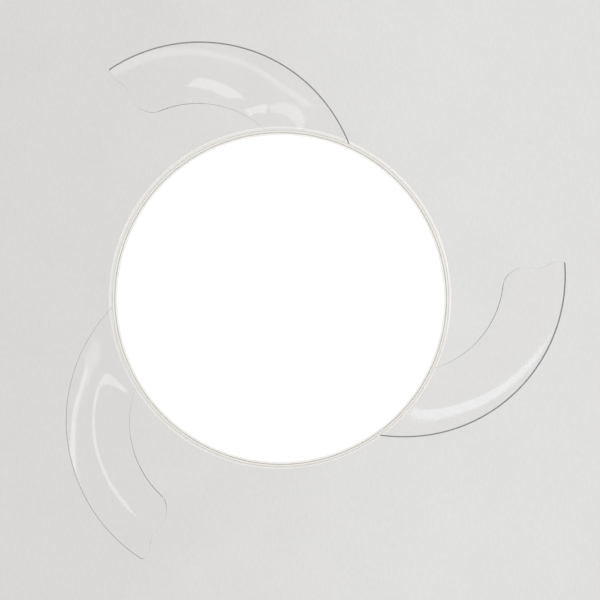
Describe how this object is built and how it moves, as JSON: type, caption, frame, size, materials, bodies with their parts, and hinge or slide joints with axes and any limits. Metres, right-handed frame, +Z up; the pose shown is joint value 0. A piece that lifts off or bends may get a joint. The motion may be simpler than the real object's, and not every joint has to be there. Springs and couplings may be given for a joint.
{
  "type": "retractable blade ceiling fan",
  "caption": "Flush ceiling fan with a round lamp and clear sickle blades that swing out from between the housing and the lamp, geared together",
  "frame": {"origin": "centre of the ceiling bracket's upper faces, on the fan axis", "axes": "+Z up along the fan axis, into the ceiling; +Y towards the first blade pivot at rest; the fan hangs in -Z"},
  "size_m": [0.778, 0.8295, 0.2126],
  "materials": {
    "white_enamel": "satin",
    "white_abs": "satin",
    "frame_pearl": "gloss",
    "opal_acrylic": "satin",
    "clear_acrylic": "polished",
    "zinc_steel": "zinc plated",
    "fastener_steel": "plated",
    "bearing_steel": "ground",
    "lamination": "matt",
    "copper_wire": "enamelled",
    "cast_aluminium": "as cast",
    "magnet": "matt",
    "spring_wire": "oiled",
    "stop_rubber": "matt",
    "grey_nylon": "matt",
    "white_nylon": "matt",
    "bronze": "sintered",
    "clamp_steel": "satin",
    "terminal_plastic": "gloss",
    "box_plastic": "matt",
    "cable_sleeve": "matt",
    "board_white": "white solder mask",
    "led_phosphor": "satin"
  },
  "bodies": {
    "fixed_body": {"ceiling_bracket": "zinc_steel", "canopy": "white_enamel", "canopy_screws": "fastener_steel", "terminal_block": "terminal_plastic", "wiring_loom": "cable_sleeve", "receiver_box": "box_plastic", "hollow_shaft": "zinc_steel", "shaft_nuts": "fastener_steel", "upper_housing": "white_abs", "housing_screws": "fastener_steel", "bearing_inner_rings": "bearing_steel", "stator_core": "lamination", "stator_windings": "copper_wire", "stack_spacers": "zinc_steel", "lamp_pan": "white_enamel", "lamp_nut": "fastener_steel", "driver_box": "box_plastic", "board_posts": "zinc_steel", "led_board": "board_white", "led_chips": "led_phosphor", "board_screws": "fastener_steel", "diffuser": "opal_acrylic", "diffuser_ring": "opal_acrylic", "lamp_frame": "frame_pearl"},
    "rotor": {"rotor_shell": "cast_aluminium", "rotor_cap": "cast_aluminium", "rotor_magnets": "magnet", "bearing_outer_rings": "bearing_steel", "bearing_balls": "bearing_steel", "carrier_plate": "zinc_steel", "carrier_screws": "fastener_steel", "ring_collar": "zinc_steel", "ring_keeper": "zinc_steel", "keeper_screws": "fastener_steel", "stop_pins": "stop_rubber", "pivot_pins": "fastener_steel", "pin_clips": "fastener_steel", "cover_plate": "zinc_steel", "cover_posts": "zinc_steel", "cover_screws": "fastener_steel", "return_springs": "spring_wire"},
    "sync_ring": {"sync_ring": "grey_nylon"},
    "blade_unit_1": {"blade_arm_1": "white_nylon", "pivot_bush_1": "bronze", "blade_1": "clear_acrylic", "blade_clamp_1": "clamp_steel", "blade_screws_1": "fastener_steel"},
    "blade_unit_2": {"blade_arm_2": "white_nylon", "pivot_bush_2": "bronze", "blade_2": "clear_acrylic", "blade_clamp_2": "clamp_steel", "blade_screws_2": "fastener_steel"},
    "blade_unit_3": {"blade_arm_3": "white_nylon", "pivot_bush_3": "bronze", "blade_3": "clear_acrylic", "blade_clamp_3": "clamp_steel", "blade_screws_3": "fastener_steel"}
  },
  "joints": [
    {"name": "rotor_spin", "type": "hinge", "parent": "fixed_body", "child": "rotor", "pos_m": [0, 0, -0.1], "axis": [0, 0, 1], "continuous": true},
    {"name": "blade_1_swing", "type": "hinge", "parent": "rotor", "child": "blade_unit_1", "pos_m": [0, 0.1575, -0.122], "axis": [0, 0, 1], "range_deg": [-76, 0], "stiffness_Nm_per_rad": 0.1, "springref_deg": -100},
    {"name": "blade_2_swing", "type": "hinge", "parent": "rotor", "child": "blade_unit_2", "pos_m": [-0.1364, -0.07875, -0.122], "axis": [0, 0, 1], "range_deg": [-76, 0], "stiffness_Nm_per_rad": 0.1, "springref_deg": -100},
    {"name": "blade_3_swing", "type": "hinge", "parent": "rotor", "child": "blade_unit_3", "pos_m": [0.1364, -0.07875, -0.122], "axis": [0, 0, 1], "range_deg": [-76, 0], "stiffness_Nm_per_rad": 0.1, "springref_deg": -100},
    {"name": "ring_turn", "type": "hinge", "parent": "rotor", "child": "sync_ring", "pos_m": [0, 0, -0.11], "axis": [0, 0, 1], "range_deg": [0, 30.4]}
  ],
  "couplings": [
    {"joint": "blade_2_swing", "follows": "blade_1_swing", "ratio": 1},
    {"joint": "blade_3_swing", "follows": "blade_1_swing", "ratio": 1},
    {"joint": "ring_turn", "follows": "blade_1_swing", "ratio": -0.4}
  ]
}
